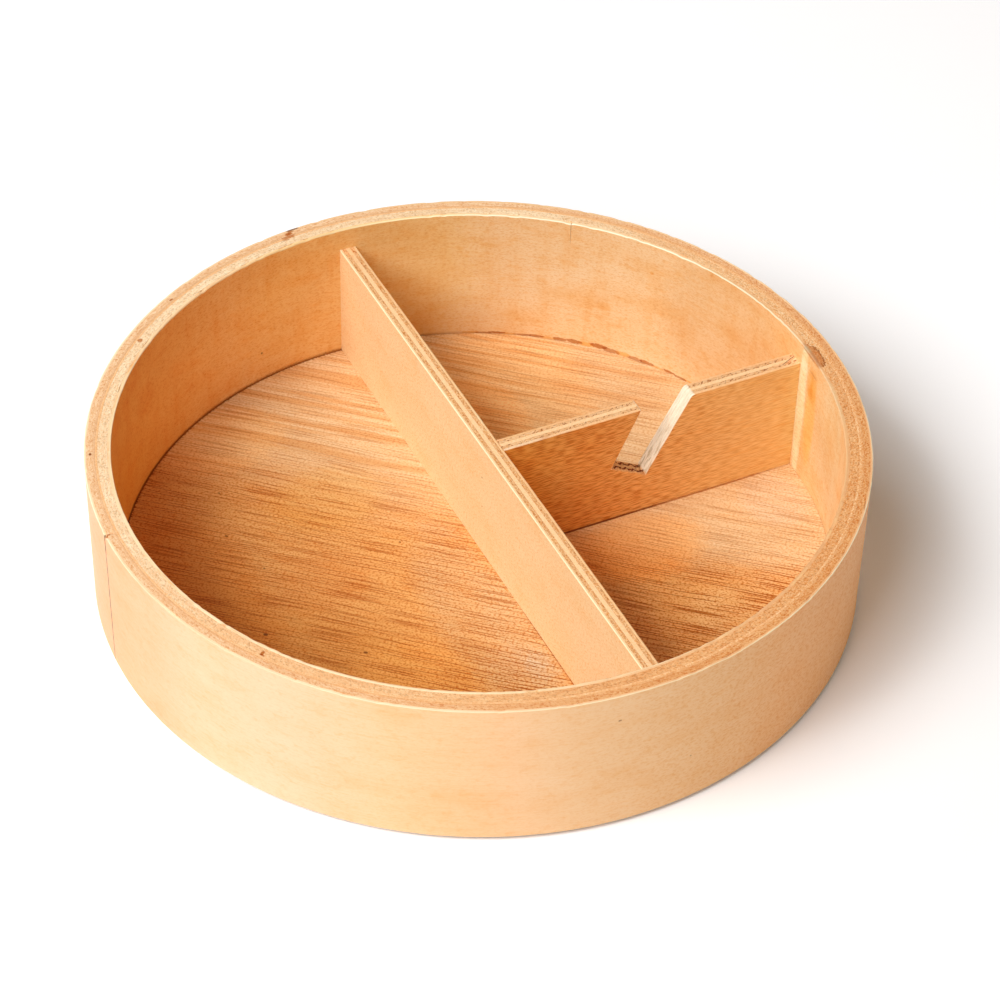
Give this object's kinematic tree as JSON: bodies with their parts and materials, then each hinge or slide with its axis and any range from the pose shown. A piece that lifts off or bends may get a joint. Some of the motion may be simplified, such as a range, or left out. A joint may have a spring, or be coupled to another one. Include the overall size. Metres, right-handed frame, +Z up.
{
  "type": "jewelry box",
  "caption": "Round open jewelry box with a bent laminated plywood rim, a thin base, and a main divider joined by a cross divider that has a slanted slot.",
  "frame": {"origin": "centre of the base's underside, on the surface that the box stands on", "axes": "+Z up out of the box, main divider along Y, cross divider along +X"},
  "size_m": [0.23, 0.23, 0.05],
  "materials": {
    "face_veneer": "bare sanded basswood veneer",
    "core_ply": "bare cut plywood core",
    "back_veneer": "bare plywood veneer",
    "base_veneer": "bare open-grained veneer"
  },
  "bodies": {
    "root": {"outer_face_veneer": "face_veneer", "outer_core": "core_ply", "outer_back_veneer": "back_veneer", "inner_back_veneer": "back_veneer", "inner_core": "core_ply", "inner_face_veneer": "face_veneer", "base_top_veneer": "base_veneer", "base_core": "core_ply", "base_bottom_veneer": "base_veneer", "main_divider_left_face": "face_veneer", "main_divider_left_crossband": "core_ply", "main_divider_centre": "back_veneer", "main_divider_right_crossband": "core_ply", "main_divider_right_face": "face_veneer", "cross_divider_front_face": "face_veneer", "cross_divider_front_crossband": "core_ply", "cross_divider_centre": "back_veneer", "cross_divider_back_crossband": "core_ply", "cross_divider_back_face": "face_veneer"}
  },
  "joints": []
}
